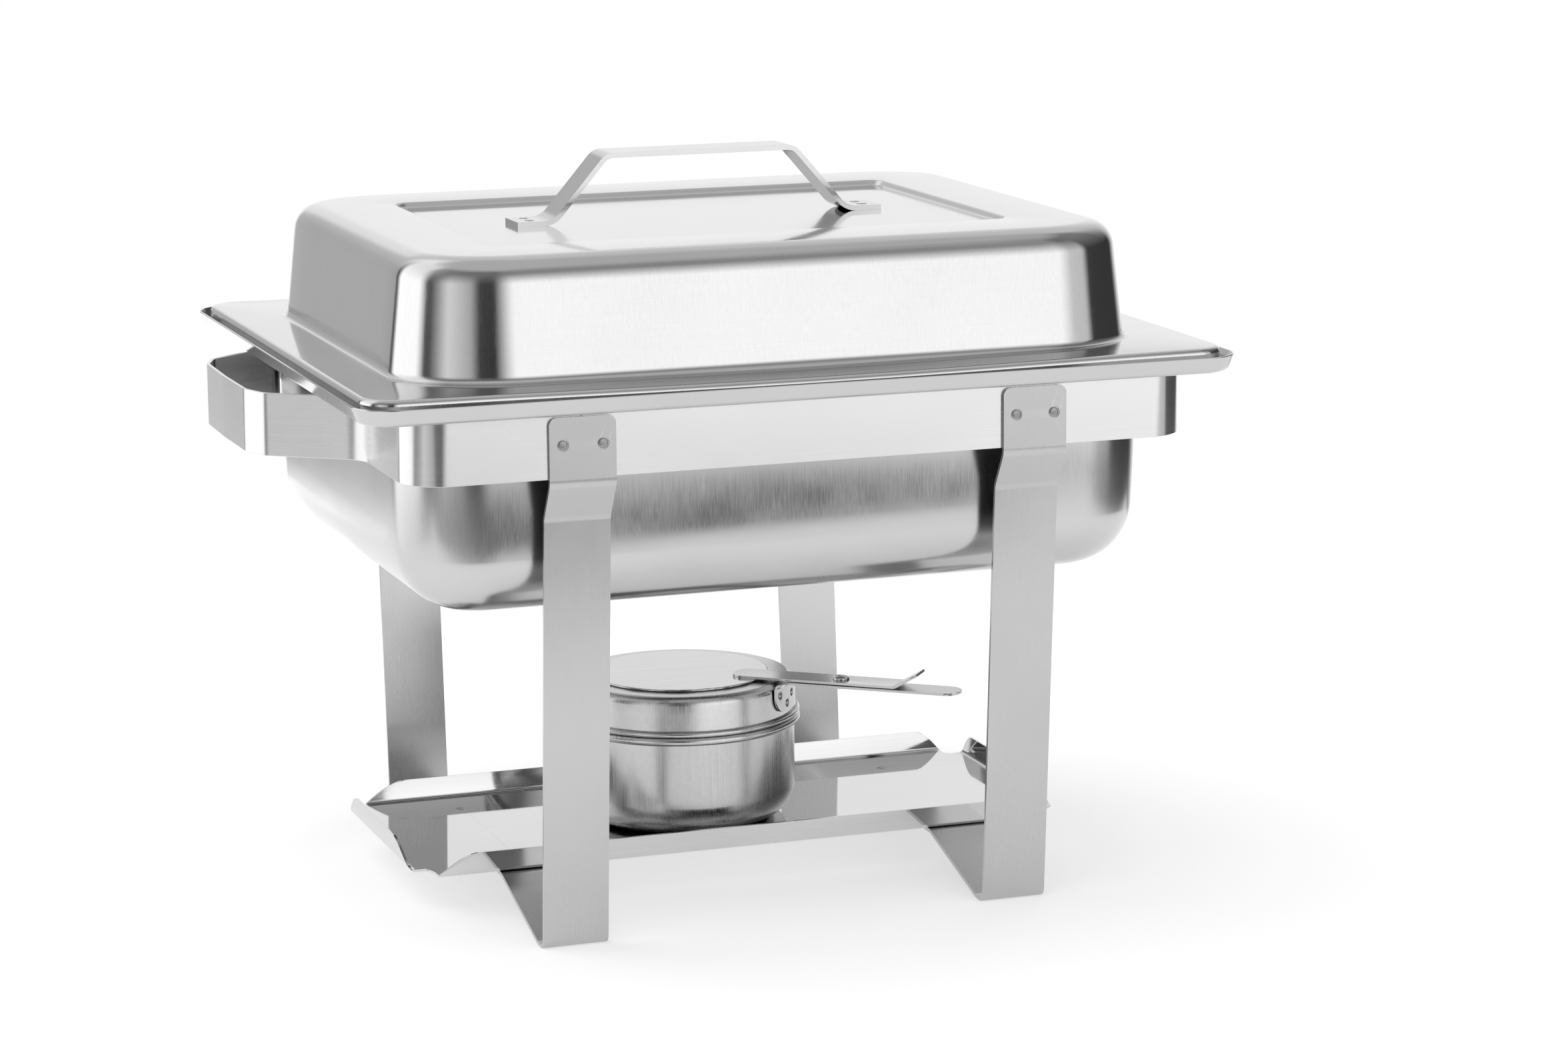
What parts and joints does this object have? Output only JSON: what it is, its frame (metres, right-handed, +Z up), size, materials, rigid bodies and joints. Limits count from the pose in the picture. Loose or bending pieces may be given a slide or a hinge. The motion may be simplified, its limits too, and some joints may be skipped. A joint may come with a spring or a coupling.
{
  "type": "chafing dish food warmer",
  "caption": "Rectangular lidded chafing dish on a strip-metal stand, with a water pan, food pan, tray and covered spirit burner.",
  "frame": {"origin": "on the table under the middle of the dish", "axes": "+Z up, +X along the long side, front at -Y"},
  "size_m": [0.3912, 0.295, 0.2924],
  "materials": {
    "lid": "polished with a fine straight grain",
    "lid_handle": "polished",
    "food_pan": "satin",
    "water_pan": "satin with a fine grain",
    "stand": "brushed along the strip",
    "tray": "polished",
    "burner": "polished with a drawn grain",
    "burner_strips": "satin",
    "tinplate": "bright tinplate",
    "weld_marks": "pressed"
  },
  "bodies": {
    "stand": {"frame_band_front": "stand", "frame_band_back": "stand", "leg_strip_left": "stand", "leg_strip_right": "stand", "leg_plate_welds": "weld_marks", "tray": "tray", "tray_welds": "weld_marks"},
    "water_pan": {"water_pan": "water_pan"},
    "food_pan": {"food_pan": "food_pan"},
    "lid": {"lid_shell": "lid", "lid_handle": "lid_handle", "lid_handle_welds": "weld_marks"},
    "burner": {"burner_cup": "burner"},
    "fuel": {"fuel_can": "tinplate"},
    "burner_cover": {"burner_cover": "burner", "burner_handle": "burner_strips", "burner_handle_welds": "weld_marks", "pivot_washer": "burner_strips", "pivot_rivet": "burner_strips"},
    "snuffer": {"snuffer_disc": "burner", "snuffer_lever": "burner_strips"}
  },
  "joints": [
    {"name": "water_pan_lift", "type": "slide", "parent": "stand", "child": "water_pan", "axis": [0, 0, 1], "range_m": [0, 0.1]},
    {"name": "food_pan_lift", "type": "slide", "parent": "water_pan", "child": "food_pan", "axis": [0, 0, 1], "range_m": [0, 0.1]},
    {"name": "lid_lift", "type": "slide", "parent": "food_pan", "child": "lid", "axis": [0, 0, 1], "range_m": [0, 0.15]},
    {"name": "burner_lift", "type": "slide", "parent": "stand", "child": "burner", "axis": [0, 0, 1], "range_m": [0, 0.012]},
    {"name": "fuel_lift", "type": "slide", "parent": "burner", "child": "fuel", "axis": [0, 0, 1], "range_m": [0, 0.015]},
    {"name": "cover_lift", "type": "slide", "parent": "burner", "child": "burner_cover", "axis": [0, 0, 1], "range_m": [0, 0.02]},
    {"name": "snuffer_swing", "type": "hinge", "parent": "burner_cover", "child": "snuffer", "pos_m": [0.04563, -0.04377, 0.0773], "axis": [0, 0, 1], "range_deg": [-85, 0]}
  ]
}
